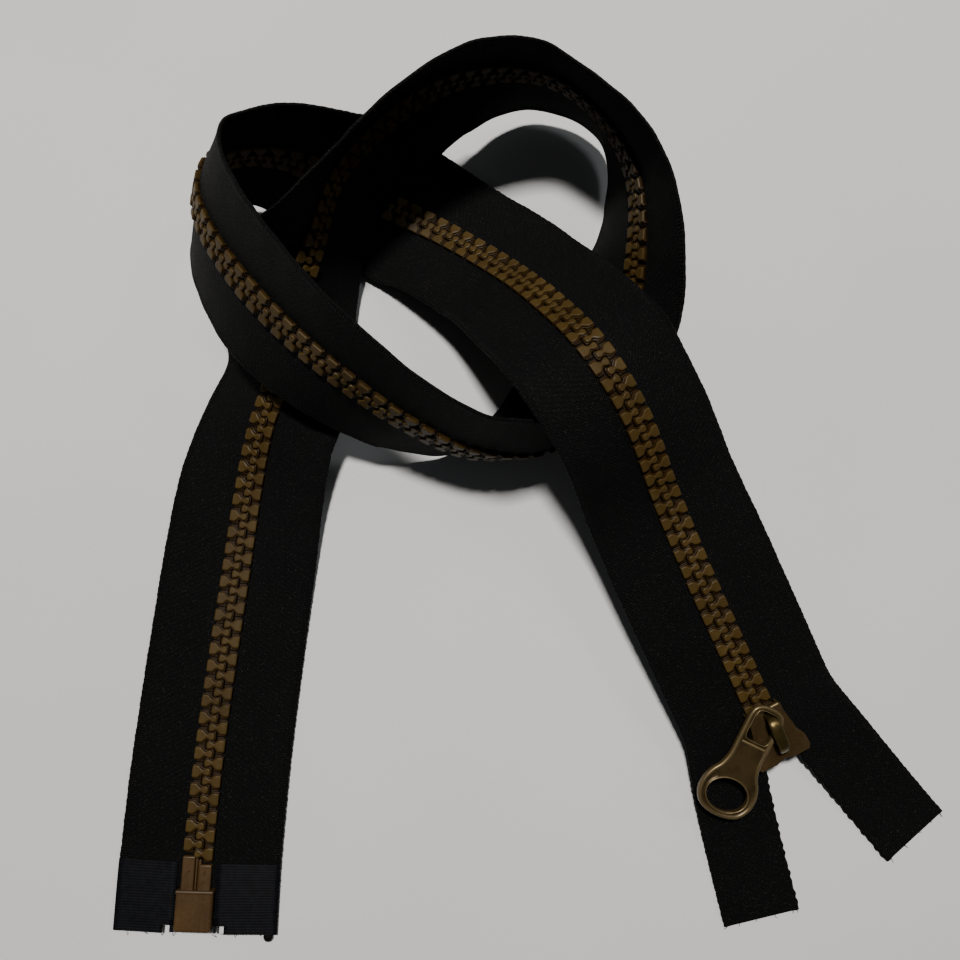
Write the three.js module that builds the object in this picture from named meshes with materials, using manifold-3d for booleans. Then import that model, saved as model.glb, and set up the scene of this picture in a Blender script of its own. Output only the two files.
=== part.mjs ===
// A separating jacket zipper with moulded teeth, tied in one loose overhand knot and laid on a table.
// Millimetres, +Z up. The origin is on the table under the middle of the whole object.
import * as THREE from "three";
import { mergeVertices } from "three/addons/utils/BufferGeometryUtils.js";
import Module from "manifold-3d";

const wasm = await Module();
wasm.setup();

// Driving dimensions.
const HALF_WIDTH = 15.75; // from the middle of the teeth to a tape's outer edge
const TAPE_THICK = 0.6;
const ROW_REACH = 2.9; // from the middle of the closed teeth to the back of a row
const TAPE_INNER = 3.2; // where the bare tape starts beside the teeth
const TAPE_AT_BOX = 4.0; // the tape is notched beside the retainer box
const TOOTH_THICK = 2.5;
const TOOTH_PITCH = 3.36;
const TOOTH_PHASE = 1.35; // the teeth are counted from here, past the box end
const MESH_DEPTH = 0.75; // how far the tooth heads reach past the middle
const ROW_GAP = 0.36;
const TAPE_STEP = 5.3; // length of one flat panel of the swept tape
const FILM_LENGTH = 13;
const FILM_THICK = 0.15;
const FILM_GAP = 0.08;
const NOTCH_END = 8.5; // the notch beside the box ends here
const BOX = { start: 0.6, length: 7.6, half: 3.6, thick: 3.1, slotStart: 2.0 };
const PIN = { inner: 0.45, outer: 2.85, thick: 2.2, start: 2.4 };
const INSERTION_PIN_TOP = 14.3;
const RETAINING_PIN_TOP = 12.8;
const WING_THICK = 1.2;
const WING_GAP = 3.5; // clear height between the slider's wings
const FLANGE = 0.45;
const FLANGE_DROP = 1.15;
const CROWN = { width: 2.3, under: 5.4, top: 6.45, tail: -3.9, front: 4 };
const PAWL_AT = 1.55;
const PULL_THICK = 1.2;
const PULL_ANGLE = -51.9; // degrees from the slider's nose
const PULL_SLOPE = -3.2;
const SPREAD = 17; // degrees each tape turns inside the slider
const END_SPREAD = 13; // degrees each free end stays turned
const END_REACH = 36; // from the slider's middle to the cut ends

// The whole is moved so that the middle of its box is over the origin and its lowest point is at zero.
const SHIFT = new THREE.Vector3(-10.223, 3.32, 0.102);

// The route of the closed chain: x, y, z and the fold of the left and right tape in degrees.
const ROUTE = [
  [-54.8, -88, 1.6, -4, -4],
  [-54.4, -74, 1.6, -4, -4],
  [-53.2, -55, 1.5, -4, -4],
  [-51.5, -37, 1.5, -4, -4],
  [-49.5, -19, 1.6, -3, -2],
  [-47.5, -3.5, 2.6, -7, 4],
  [-44.5, 9.5, 5.5, -21, 6],
  [-40, 21, 9.2, -30, -12],
  [-37.3, 34, 12.8, 2, -54],
  [-33, 45, 16.9, 74, -62],
  [-27.5, 59, 19.6, 110, -60],
  [-13.5, 71, 23.2, 114, -64],
  [-0.5, 77.5, 22.2, 110, -80],
  [13.5, 78.7, 19.6, 110, -98],
  [24.5, 70.7, 18.6, 104, -104],
  [31, 58.3, 17.2, 90, -76],
  [31.5, 43.5, 15.5, 72, -54],
  [29.5, 30.5, 10.4, 60, -32],
  [23.3, 18.5, 8, 70, -16],
  [13.5, 6, 9.2, 97, -25],
  [-0.5, 3.3, 15.2, 106, -82],
  [-13.5, 8, 21.9, 107, -110],
  [-27, 17, 26.6, 113, -126],
  [-39, 28, 27.6, 120, -133],
  [-48.3, 40, 26.5, 124, -126],
  [-53, 50, 24, 124, -116],
  [-52.5, 58.5, 21, 114, -102],
  [-46.8, 63, 17.9, 98, -86],
  [-38.5, 63.8, 14.9, 80, -65],
  [-28.5, 61.5, 9, 50, -30],
  [-18, 58, 3.8, 12, -8],
  [-8, 52.5, 4.2, -6, 6],
  [4.2, 42.5, 9.8, -9, 5],
  [12.6, 31.3, 20, -8, 0],
  [20, 19.2, 28.6, -10, 5],
  [27.7, 7.5, 25.4, -14, 6],
  [35, -6, 15.9, -8, 0],
  [42.5, -22, 11.2, 0, 0],
  [51, -39.4, 6.95, 0, 0],
];
const ROUTE_END = ROUTE.length - 2;
const SLIDER_AT = new THREE.Vector3(55.7, -49.1, 4.6);
const STRAIGHT_FROM = new THREE.Vector3(42.5, -22, 11.2);

// A length of small steps along the route, so that pieces are placed by their distance from the box end.
const STEPS = 60;
const lengths = [0];
for (let i = 1, last = routeAt(0); i <= ROUTE_END * STEPS; i++) {
  const here = routeAt(i / STEPS);
  lengths.push(lengths[i - 1] + here.p.distanceTo(last.p));
  last = here;
}
const ROUTE_LENGTH = lengths[lengths.length - 1];

// The smooth curve through the stations, with the folds in radians.
function routeAt(u) {
  const i = Math.min(Math.floor(u), ROUTE_END - 1);
  const t = u - i;
  const b = ROUTE[i];
  const c = ROUTE[i + 1];
  const a = ROUTE[i - 1] ?? b.map((value, k) => 2 * value - c[k]);
  const d = ROUTE[i + 2];
  const value = (k) =>
    0.5 * (2 * b[k] + (c[k] - a[k]) * t + (2 * a[k] - 5 * b[k] + 4 * c[k] - d[k]) * t * t
      + (3 * b[k] - a[k] - 3 * c[k] + d[k]) * t * t * t);
  const slope = (k) =>
    0.5 * (c[k] - a[k] + 2 * (2 * a[k] - 5 * b[k] + 4 * c[k] - d[k]) * t
      + 3 * (3 * b[k] - a[k] - 3 * c[k] + d[k]) * t * t);
  return {
    p: new THREE.Vector3(value(0), value(1), value(2)),
    t: new THREE.Vector3(slope(0), slope(1), slope(2)).normalize(),
    left: THREE.MathUtils.degToRad(value(3)),
    right: THREE.MathUtils.degToRad(value(4)),
  };
}

// Right and up directions of the flat ribbon at a point with direction t.
function withAxes(f) {
  f.r = new THREE.Vector3().crossVectors(f.t, new THREE.Vector3(0, 0, 1)).normalize();
  f.n = new THREE.Vector3().crossVectors(f.r, f.t);
  return f;
}

function chainAt(s) {
  let k = lengths.findIndex((value) => value >= s);
  k = k < 1 ? 1 : k;
  const t = (s - lengths[k - 1]) / (lengths[k] - lengths[k - 1]);
  return withAxes(routeAt((k - 1 + t) / STEPS));
}

// The straight stretch that the slider runs on and the two parted ends, by the distance x from the
// slider's middle towards its nose. Each side turns away from the middle inside the slider.
const nose = SLIDER_AT.clone().sub(STRAIGHT_FROM).normalize();
const STRAIGHT = SLIDER_AT.distanceTo(STRAIGHT_FROM);

function turnAt(x) {
  const rise = THREE.MathUtils.smoothstep(x, -5, 3);
  const fall = THREE.MathUtils.smoothstep(x, 6, 14);
  return THREE.MathUtils.degToRad(SPREAD * rise - (SPREAD - END_SPREAD) * fall);
}

function partedPoint(x, side) {
  const r = new THREE.Vector3().crossVectors(nose, new THREE.Vector3(0, 0, 1)).normalize();
  let across = 0;
  let along = Math.min(x, -5);
  const dx = 0.25;
  for (let at = -5; at < x; at += dx) {
    const step = Math.min(dx, x - at);
    across += Math.sin(turnAt(at + step / 2)) * step;
    along += Math.cos(turnAt(at + step / 2)) * step;
  }
  const p = SLIDER_AT.clone().addScaledVector(nose, along).addScaledVector(r, side * across);
  const past = x - 6;
  if (past > 0) {
    const rest = TAPE_THICK / 2 + 0.05;
    const from = SLIDER_AT.z + nose.z * 6;
    const left = Math.max(0, 1 - past / 26);
    p.z = rest + (from - rest) * left * left;
  }
  return p;
}

function partedAt(x, side) {
  const p = partedPoint(x, side);
  const t = partedPoint(x + 0.2, side).sub(partedPoint(x - 0.2, side)).normalize();
  return withAxes({ p, t, left: 0, right: 0 });
}

// Directions across the closed teeth, and out along one tape.
function acrossTeeth(f) {
  const m = (f.left - f.right) / 2;
  return {
    mid: f.r.clone().multiplyScalar(Math.cos(m)).addScaledVector(f.n, -Math.sin(m)),
    up: f.n.clone().multiplyScalar(Math.cos(m)).addScaledVector(f.r, Math.sin(m)),
  };
}

function outAlongTape(f, side) {
  const a = side > 0 ? f.right : f.left;
  return {
    out: f.r.clone().multiplyScalar(side * Math.cos(a)).addScaledVector(f.n, Math.sin(a)),
    up: f.n.clone().multiplyScalar(Math.cos(a)).addScaledVector(f.r, -side * Math.sin(a)),
  };
}

// Four corners of a tape's section from inner to outer, centred at a height over the tape's middle.
function tapeSection(f, side, inner, outer, thick = TAPE_THICK, height = 0) {
  const { mid } = acrossTeeth(f);
  const { out, up } = outAlongTape(f, side);
  const root = f.p.clone().addScaledVector(mid, side * ROW_REACH);
  const corner = (v, h) => root.clone().addScaledVector(out, v - ROW_REACH).addScaledVector(up, height + h);
  const h = thick / 2;
  return [corner(inner, -h), corner(outer, -h), corner(outer, h), corner(inner, h)];
}

// Four corners of a tooth row's section; the inner side follows the zigzag of the closed teeth.
function rowSection(f, side, wave) {
  const { mid, up } = acrossTeeth(f);
  const inner = side * wave + ROW_GAP / 2;
  const corner = (v, h) => f.p.clone().addScaledVector(mid, side * v).addScaledVector(up, h);
  const h = TOOTH_THICK / 2;
  return [corner(inner, -h), corner(ROW_REACH, -h), corner(ROW_REACH, h), corner(inner, h)];
}

function zigzag(k) {
  return k % 2 ? MESH_DEPTH : -MESH_DEPTH;
}

// A closed solid through equal sections, with flat ends.
function loft(sections) {
  const n = sections[0].length;
  const points = sections.flat();
  const index = [];
  for (let i = 0; i + 1 < sections.length; i++)
    for (let j = 0; j < n; j++) {
      const a = i * n + j;
      const b = i * n + ((j + 1) % n);
      // The upper face is split along the same diagonal as the lower one, so a twisted panel stays even.
      if (j === 2) index.push(a, b, a + n, b, b + n, a + n);
      else index.push(a, b, b + n, a, b + n, a + n);
    }
  const last = (sections.length - 1) * n;
  for (let j = 1; j + 1 < n; j++) {
    index.push(0, j + 1, j);
    index.push(last, last + j, last + j + 1);
  }
  let volume = 0;
  for (let i = 0; i < index.length; i += 3) {
    const [a, b, c] = [points[index[i]], points[index[i + 1]], points[index[i + 2]]];
    volume += a.dot(new THREE.Vector3().crossVectors(b, c));
  }
  if (volume < 0) index.reverse();
  const g = new THREE.BufferGeometry().setFromPoints(points);
  g.setIndex(index);
  return g;
}

// Boolean helpers.
function solid(geometry) {
  const g = geometry.clone();
  g.deleteAttribute("normal");
  g.deleteAttribute("uv");
  const merged = mergeVertices(g, 1e-4);
  return new wasm.Manifold(
    new wasm.Mesh({
      numProp: 3,
      vertProperties: new Float32Array(merged.attributes.position.array),
      triVerts: new Uint32Array(merged.index.array),
    }),
  );
}

function geometryOf(manifold) {
  const mesh = manifold.getMesh();
  const g = new THREE.BufferGeometry();
  g.setAttribute("position", new THREE.BufferAttribute(mesh.vertProperties, 3));
  g.setIndex(new THREE.BufferAttribute(mesh.triVerts, 1));
  return g;
}

function block(x0, x1, y0, y1, z0, z1) {
  const g = new THREE.BoxGeometry(x1 - x0, y1 - y0, z1 - z0);
  return g.translate((x0 + x1) / 2, (y0 + y1) / 2, (z0 + z1) / 2);
}

function plate(shape, z0, depth, curveSegments = 6) {
  const g = new THREE.ExtrudeGeometry(shape, { depth, bevelEnabled: false, curveSegments });
  return g.translate(0, 0, z0);
}

function outline(points) {
  return new THREE.Shape(points.map(([x, y]) => new THREE.Vector2(x, y)));
}

// Materials.
const look = (color, roughness, metalness = 0) => new THREE.MeshStandardMaterial({ color, roughness, metalness });
const materials = {
  tape: look(0x16171c, 0.95),
  teeth: look(0x8a6a2c, 0.45, 0.1),
  film: look(0x23252c, 0.3),
  box: look(0x7a4a26, 0.4, 0.1),
  body: look(0x6f4526, 0.42, 0.2),
  brass: look(0xa88b55, 0.35, 0.9),
  steel: look(0x8d8a84, 0.4, 0.9),
};

const part = new THREE.Group();
part.position.copy(SHIFT);

function add(group, name, geometry, material) {
  const mesh = new THREE.Mesh(geometry, material);
  mesh.name = name;
  group.add(mesh);
  return mesh;
}

// Tapes: long woven strips from the box end to the start of the slider's straight.
function mainTape(side) {
  const from = NOTCH_END + 0.4;
  const stops = [[0, TAPE_AT_BOX], [NOTCH_END, TAPE_AT_BOX], [from, TAPE_INNER]];
  const count = Math.round((ROUTE_LENGTH - from) / TAPE_STEP);
  for (let i = 1; i <= count; i++) stops.push([from + ((ROUTE_LENGTH - from) * i) / count, TAPE_INNER]);
  return loft(stops.map(([s, inner]) => tapeSection(chainAt(s), side, inner, HALF_WIDTH)));
}

function topTape(side) {
  const stops = [-STRAIGHT + 0.35, -24, -18, -12, -5, -3, -1, 1, 3, 6, 7.2, 7.5, 9.5, 12, 15, 19, 24, 30, END_REACH];
  return loft(stops.map((x) =>
    tapeSection(partedAt(x, side), side, x > 7.3 ? 0.7 : TAPE_INNER, HALF_WIDTH)));
}

// Tooth rows: each is one moulded band whose inner side zigzags at the tooth pitch.
const toothAt = (k) => TOOTH_PHASE + (k * TOOTH_PITCH) / 2;

function mainRow(side) {
  const sections = [];
  for (let k = side < 0 ? 8 : 7; toothAt(k) < ROUTE_LENGTH; k++)
    sections.push(rowSection(chainAt(toothAt(k)), side, zigzag(k)));
  return loft(sections);
}

function topRow(side) {
  const lastMain = Math.floor((ROUTE_LENGTH - TOOTH_PHASE) / (TOOTH_PITCH / 2));
  const start = toothAt(lastMain) - ROUTE_LENGTH - STRAIGHT;
  const sections = [rowSection(partedAt(start + 0.4, side), side, zigzag(lastMain) * 0.52)];
  for (let k = 1; start + (k * TOOTH_PITCH) / 2 < 3.6; k++)
    sections.push(rowSection(partedAt(start + (k * TOOTH_PITCH) / 2, side), side, zigzag(lastMain + k)));
  return loft(sections);
}

// A top stop is a short block clamped on the tape's edge past the last tooth.
function topStop(side) {
  return loft([4.2, 5.9].map((x) => {
    const f = partedAt(x, side);
    const { mid, up } = acrossTeeth(f);
    const corner = (v, h) => f.p.clone().addScaledVector(mid, side * v).addScaledVector(up, h);
    return [corner(0.9, -1.1), corner(2.7, -1.1), corner(2.7, 1.1), corner(0.9, 1.1)];
  }));
}

// Stiffening films are pressed on both faces of each tape at the box end.
function film(side, face) {
  const height = face * (TAPE_THICK / 2 + FILM_GAP + FILM_THICK / 2);
  return loft([0.3, NOTCH_END, FILM_LENGTH].map((s) =>
    tapeSection(chainAt(s), side, TAPE_AT_BOX + 0.3, HALF_WIDTH - 0.05, FILM_THICK, height)));
}

// A group at the box end whose x runs along the chain, y to its left and z up.
function boxEndGroup() {
  const f = chainAt(0.01);
  const g = new THREE.Group();
  g.applyMatrix4(new THREE.Matrix4().makeBasis(f.t, f.r.clone().negate(), f.n).setPosition(f.p));
  return g;
}

function retainerBox() {
  const h = BOX.thick / 2;
  const end = BOX.start + BOX.length;
  const round = 0.8;
  const shape = outline([
    [BOX.start, -BOX.half + round],
    [BOX.start + round, -BOX.half],
    [end, -BOX.half],
    [end, BOX.half],
    [BOX.start + round, BOX.half],
    [BOX.start, BOX.half - round],
  ]);
  const slot = (y0, y1) => solid(block(BOX.slotStart, end + 1, y0, y1, -PIN.thick / 2 - 0.15, PIN.thick / 2 + 0.15));
  return geometryOf(
    solid(plate(shape, -h, BOX.thick))
      .subtract(slot(PIN.inner - 0.2, PIN.outer + 0.2))
      .subtract(slot(-PIN.outer - 0.2, -PIN.inner + 0.2)),
  );
}

// Each pin is a bar with a rounded top; the insertion pin carries a nib towards the middle.
function pin(left, top) {
  const y = (v) => (left ? v : -v);
  const points = [
    [PIN.start, y(PIN.inner)],
    [top - 0.3, y(PIN.inner)],
    [top, y(PIN.inner + 0.4)],
    [top, y(PIN.outer - 0.5)],
    [top - 0.5, y(PIN.outer)],
    [PIN.start, y(PIN.outer)],
  ];
  return plate(outline(left ? points : points.reverse()), -PIN.thick / 2, PIN.thick);
}

// Slider: a group whose x runs to the nose, y to the chain's left and z up out of the front face.
function sliderGroup() {
  const f = withAxes({ t: nose.clone() });
  const g = new THREE.Group();
  g.applyMatrix4(new THREE.Matrix4().makeBasis(f.t, f.r.clone().negate(), f.n).setPosition(SLIDER_AT));
  return g;
}

const WING_SIDE = [[-4.6, 3.5], [-3, 3.55], [-1.2, 3.9], [1.6, 4.5], [3.3, 5.5], [5.4, 5.7]];

function sliderBody() {
  const half = WING_GAP / 2;
  const rim = [...WING_SIDE, [6.3, 5.2], [6.4, 2], [5.8, 0]];
  const back = rim.slice(0, -1).reverse().map(([x, y]) => [x, -y]);
  const wing = outline([...rim, ...back].reverse());
  const side = (sign) => {
    const points = [...WING_SIDE, ...[...WING_SIDE].reverse().map(([x, y]) => [x, y - FLANGE])];
    const turned = points.map(([x, y]) => [x, sign * y]);
    return outline(sign > 0 ? turned.reverse() : turned);
  };
  const neck = outline([[3.5, 0], [5.7, -0.75], [6.1, -0.6], [6.1, 0.6], [5.7, 0.75]]);
  let body = solid(plate(wing, half, WING_THICK)).add(solid(plate(wing, -half - WING_THICK, WING_THICK)));
  body = body.add(solid(plate(neck, -half - 0.2, WING_GAP + 0.4)));
  for (const sign of [1, -1]) {
    body = body.add(solid(plate(side(sign), half - FLANGE_DROP, FLANGE_DROP + 0.2)));
    body = body.add(solid(plate(side(sign), -half - 0.2, FLANGE_DROP + 0.2)));
  }
  return geometryOf(body.subtract(solid(block(PAWL_AT - 0.5, PAWL_AT + 0.5, -0.7, 0.7, half - 1, half + WING_THICK + 1))));
}

// The crown is an arch over the top wing, drawn from the side and extruded across.
function crown() {
  const foot = WING_GAP / 2 + WING_THICK + 0.1;
  const { tail, front, under, top } = CROWN;
  const shape = new THREE.Shape();
  shape.moveTo(tail + 0.1, foot);
  shape.lineTo(tail, top - 1);
  shape.quadraticCurveTo(tail, top, tail + 1.1, top);
  shape.lineTo(1.6, top - 0.05);
  shape.quadraticCurveTo(front - 0.5, top - 0.6, front, foot + 0.6);
  shape.lineTo(front, foot);
  shape.lineTo(front - 1.4, foot);
  shape.quadraticCurveTo(front - 1.7, under - 0.9, 2.2, under);
  shape.lineTo(tail + 1.4, under);
  shape.lineTo(tail + 1, under - 0.3);
  shape.lineTo(tail + 1, foot);
  const g = new THREE.ExtrudeGeometry(shape, { depth: CROWN.width, bevelEnabled: false, curveSegments: 5 });
  g.rotateX(Math.PI / 2).translate(0, CROWN.width / 2, 0);
  const legs = block(tail - 1, tail + 1.2, -2, 2, foot - 1, under - 0.4);
  const slim = block(tail - 2, tail + 2, -0.6, 0.6, foot - 2, under);
  return geometryOf(solid(g).subtract(solid(legs).subtract(solid(slim))));
}

// The lock spring is a leaf under the crown with a pawl that dips between the teeth.
function lockSpring() {
  const leaf = solid(block(-2.6, PAWL_AT + 0.35, -0.6, 0.6, 5, 5.12));
  return geometryOf(leaf.add(solid(block(PAWL_AT - 0.25, PAWL_AT + 0.25, -0.4, 0.4, 1.4, 5.05))));
}

// The pull has a slotted head, a plate and a ring, drawn flat along x from its end.
function pull() {
  const shape = new THREE.Shape();
  shape.moveTo(0, -1.4);
  shape.quadraticCurveTo(0, -3.5, 2.2, -3.5);
  shape.lineTo(8.2, -3.45);
  shape.quadraticCurveTo(11.5, -3.2, 13.8, -4.1);
  shape.quadraticCurveTo(15.8, -5.8, 18.2, -5.8);
  shape.quadraticCurveTo(23.1, -5.8, 23.2, 0);
  shape.quadraticCurveTo(23.1, 5.8, 18.2, 5.8);
  shape.quadraticCurveTo(15.8, 5.8, 13.8, 4.1);
  shape.quadraticCurveTo(11.5, 3.2, 8.2, 3.45);
  shape.lineTo(2.2, 3.5);
  shape.quadraticCurveTo(0, 3.5, 0, 1.4);
  const slot = new THREE.Path();
  slot.moveTo(1.1, -1);
  slot.quadraticCurveTo(1.1, -2.4, 2.6, -2.4);
  slot.lineTo(6.2, -2.4);
  slot.quadraticCurveTo(7.2, -2.4, 7.2, -1.4);
  slot.lineTo(7.2, 1.4);
  slot.quadraticCurveTo(7.2, 2.4, 6.2, 2.4);
  slot.lineTo(2.6, 2.4);
  slot.quadraticCurveTo(1.1, 2.4, 1.1, 1);
  const hole = new THREE.Path();
  hole.absellipse(18.7, 0, 3.2, 4.2, 0, Math.PI * 2, true);
  shape.holes.push(slot, hole);
  return plate(shape, -PULL_THICK / 2, PULL_THICK, 5);
}

const PULL_END = new THREE.Vector3(-5, 1.33, 4.35);

const boxEnd = boxEndGroup();
const slider = sliderGroup();
part.add(boxEnd, slider);

for (const [side, word] of [[-1, "left"], [1, "right"]]) {
  add(part, word + "_tape", mainTape(side), materials.tape);
  add(part, word + "_tape_top", topTape(side), materials.tape);
  add(part, word + "_teeth", mainRow(side), materials.teeth);
  add(part, word + "_teeth_top", topRow(side), materials.teeth);
  add(part, word + "_top_stop", topStop(side), materials.teeth);
  add(part, word + "_front_film", film(side, 1), materials.film);
  add(part, word + "_back_film", film(side, -1), materials.film);
}
add(boxEnd, "retainer_box", retainerBox(), materials.box);
add(boxEnd, "insertion_pin", pin(true, INSERTION_PIN_TOP), materials.box);
add(boxEnd, "retaining_pin", pin(false, RETAINING_PIN_TOP), materials.box);
add(slider, "slider_body", sliderBody(), materials.body);
add(slider, "slider_crown", crown(), materials.brass);
add(slider, "lock_spring", lockSpring(), materials.steel);
const tab = add(slider, "pull_tab", pull(), materials.brass);
tab.position.copy(PULL_END);
tab.rotation.order = "ZYX";
tab.rotation.z = THREE.MathUtils.degToRad(PULL_ANGLE);
tab.rotation.y = THREE.MathUtils.degToRad(-PULL_SLOPE);

export default part;
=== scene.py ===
import bpy
import bmesh
import math
import random
import numpy as np
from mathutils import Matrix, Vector


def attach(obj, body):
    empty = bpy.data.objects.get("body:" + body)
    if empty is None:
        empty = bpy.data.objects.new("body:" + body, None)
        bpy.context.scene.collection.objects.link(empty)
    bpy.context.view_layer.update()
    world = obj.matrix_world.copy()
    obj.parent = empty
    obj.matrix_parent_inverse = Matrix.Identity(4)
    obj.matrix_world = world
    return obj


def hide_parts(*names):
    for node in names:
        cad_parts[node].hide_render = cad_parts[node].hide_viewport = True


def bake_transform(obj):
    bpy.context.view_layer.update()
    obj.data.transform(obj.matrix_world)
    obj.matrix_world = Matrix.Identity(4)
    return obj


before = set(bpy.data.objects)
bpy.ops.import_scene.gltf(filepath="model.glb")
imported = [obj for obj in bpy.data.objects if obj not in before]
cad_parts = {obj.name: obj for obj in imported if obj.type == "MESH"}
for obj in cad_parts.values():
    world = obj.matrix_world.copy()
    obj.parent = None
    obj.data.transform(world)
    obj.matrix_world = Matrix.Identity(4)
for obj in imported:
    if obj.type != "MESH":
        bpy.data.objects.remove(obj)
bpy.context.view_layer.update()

# Lengths are millimetres in the route's frame. SHIFT moves them onto the part's frame, MM makes them metres.
MM = 0.001
SHIFT = Vector((-10.223, 3.32, 0.102))
UP = Vector((0, 0, 1))
SIDES = ((-1, "left"), (1, "right"))

# Sizes of the ribbon, as in the CAD. Across the ribbon, places are counted from the middle of the chain.
HALF_WIDTH = 15.75
CLOTH_FROM = 0.75
CLOTH_BESIDE_BOX = 3.75
TAPE_THICK = 0.6
ROW_REACH = 2.9
PITCH = 3.36
PHASE = 1.35
NOTCH_END = 8.5
TOP_END = 36.0

# The route of the closed chain: x, y, z and the fold of the left and right tape in degrees.
ROUTE = [
    (-54.8, -88, 1.6, -4, -4), (-54.4, -74, 1.6, -4, -4), (-53.2, -55, 1.5, -4, -4),
    (-51.5, -37, 1.5, -4, -4), (-49.5, -19, 1.6, -3, -2), (-47.5, -3.5, 2.6, -7, 4),
    (-44.5, 9.5, 5.5, -21, 6), (-40, 21, 9.2, -30, -12), (-37.3, 34, 12.8, 2, -54),
    (-33, 45, 16.9, 74, -62), (-27.5, 59, 19.6, 110, -60), (-13.5, 71, 23.2, 114, -64),
    (-0.5, 77.5, 22.2, 110, -80), (13.5, 78.7, 19.6, 110, -98), (24.5, 70.7, 18.6, 104, -104),
    (31, 58.3, 17.2, 90, -76), (31.5, 43.5, 15.5, 72, -54), (29.5, 30.5, 10.4, 60, -32),
    (23.3, 18.5, 8, 70, -16), (13.5, 6, 9.2, 97, -25), (-0.5, 3.3, 15.2, 106, -82),
    (-13.5, 8, 21.9, 107, -110), (-27, 17, 26.6, 113, -126), (-39, 28, 27.6, 120, -133),
    (-48.3, 40, 26.5, 124, -126), (-53, 50, 24, 124, -116), (-52.5, 58.5, 21, 114, -102),
    (-46.8, 63, 17.9, 98, -86), (-38.5, 63.8, 14.9, 80, -65), (-28.5, 61.5, 9, 50, -30),
    (-18, 58, 3.8, 12, -8), (-8, 52.5, 4.2, -6, 6), (4.2, 42.5, 9.8, -9, 5),
    (12.6, 31.3, 20, -8, 0), (20, 19.2, 28.6, -10, 5), (27.7, 7.5, 25.4, -14, 6),
    (35, -6, 15.9, -8, 0), (42.5, -22, 11.2, 0, 0), (51, -39.4, 6.95, 0, 0),
]
ROUTE_END = len(ROUTE) - 2
ROUTE_STEPS = 60
SLIDER_AT = Vector((55.7, -49.1, 4.6))
STRAIGHT_FROM = Vector((42.5, -22, 11.2))
NOSE = (SLIDER_AT - STRAIGHT_FROM).normalized()
STRAIGHT = (SLIDER_AT - STRAIGHT_FROM).length

# Past the slider each tape turns out by one angle (degrees) between two places, then back by another.
PART_ANGLE, PART_FROM, PART_TO = 17, -5.0, 3
BACK_ANGLE, BACK_FROM, BACK_TO = 4, 6, 14
# From SINK_FROM on it sinks to the table over SINK_LENGTH.
SINK_FROM, SINK_LENGTH = 6, 26
WALK = 0.25

CAMERA_AT = Vector((0, -23.957, 162.24))
CAMERA_TILT = 8.4
SENSOR, LENS = 36, 29.325


# ---------------------------------------------------------------- camera
def place_camera():
    data = bpy.data.cameras.new("camera")
    cam = bpy.data.objects.new("camera", data)
    bpy.context.scene.collection.objects.link(cam)
    cam.location = (CAMERA_AT + SHIFT) * MM
    cam.rotation_euler = (math.radians(CAMERA_TILT), 0, 0)
    data.sensor_width = SENSOR
    data.lens = LENS
    data.clip_start = 0.005
    data.clip_end = 20
    data.dof.use_dof = False
    bpy.context.scene.camera = cam


place_camera()


# ---------------------------------------------------------------- the route
def smoothstep(x, a, b):
    t = min(max((x - a) / (b - a), 0), 1)
    return t * t * (3 - 2 * t)


def spline(a, b, c, d, t):
    """Uniform Catmull-Rom from b to c: the value and the slope at t."""
    k1 = c - a
    k2 = 2 * a - 5 * b + 4 * c - d
    k3 = 3 * b - a - 3 * c + d
    return 0.5 * (2 * b + k1 * t + k2 * t * t + k3 * t * t * t), 0.5 * (k1 + 2 * k2 * t + 3 * k3 * t * t)


def route_at(u):
    """Point, direction and both folds (radians) of the route between station int(u) and the next."""
    i = min(int(u), ROUTE_END - 1)
    b, c, d = ROUTE[i], ROUTE[i + 1], ROUTE[i + 2]
    a = ROUTE[i - 1] if i else [2 * b[k] - c[k] for k in range(5)]
    values, slopes = zip(*(spline(*four, u - i) for four in zip(a, b, c, d)))
    left, right = (math.radians(fold) for fold in values[3:])
    return Vector(values[:3]), Vector(slopes[:3]).normalized(), left, right


class Place:
    """A place on the ribbon: point, travel direction, right, up and the two folds."""

    def __init__(self, p, t, left=0.0, right=0.0):
        self.p, self.t, self.left, self.right = p, t, left, right
        self.r = t.cross(UP).normalized()
        self.n = self.r.cross(t)
        m = (left - right) / 2
        self.mid = self.r * math.cos(m) - self.n * math.sin(m)
        self.up = self.n * math.cos(m) + self.r * math.sin(m)

    def out(self, side):
        """Outward and upward directions of one side's cloth."""
        a = self.right if side > 0 else self.left
        out = self.r * (side * math.cos(a)) + self.n * math.sin(a)
        up = self.n * math.cos(a) - self.r * (side * math.sin(a))
        return out, up

    def on_cloth(self, side, v, height=0.0):
        """A point beyond the teeth, v across and at a height over the cloth's middle."""
        out, up = self.out(side)
        return self.p + self.mid * (side * ROW_REACH) + out * (v - ROW_REACH) + up * height


def length_table():
    """Lengths along the route at equal steps of its parameter."""
    table, last = [0.0], route_at(0)[0]
    for i in range(1, ROUTE_END * ROUTE_STEPS + 1):
        here = route_at(i / ROUTE_STEPS)[0]
        table.append(table[-1] + (here - last).length)
        last = here
    return table


LENGTHS = length_table()
ROUTE_LENGTH = LENGTHS[-1]


def chain_at(s):
    """The place on the closed chain s mm from its cut end."""
    lo, hi = 0, len(LENGTHS) - 1
    while hi - lo > 1:
        mid = (lo + hi) // 2
        if LENGTHS[mid] < s:
            lo = mid
        else:
            hi = mid
    t = (s - LENGTHS[lo]) / (LENGTHS[hi] - LENGTHS[lo])
    return Place(*route_at((lo + t) / ROUTE_STEPS))


def turn_at(x):
    out = PART_ANGLE * smoothstep(x, PART_FROM, PART_TO)
    return math.radians(out - BACK_ANGLE * smoothstep(x, BACK_FROM, BACK_TO))


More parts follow.
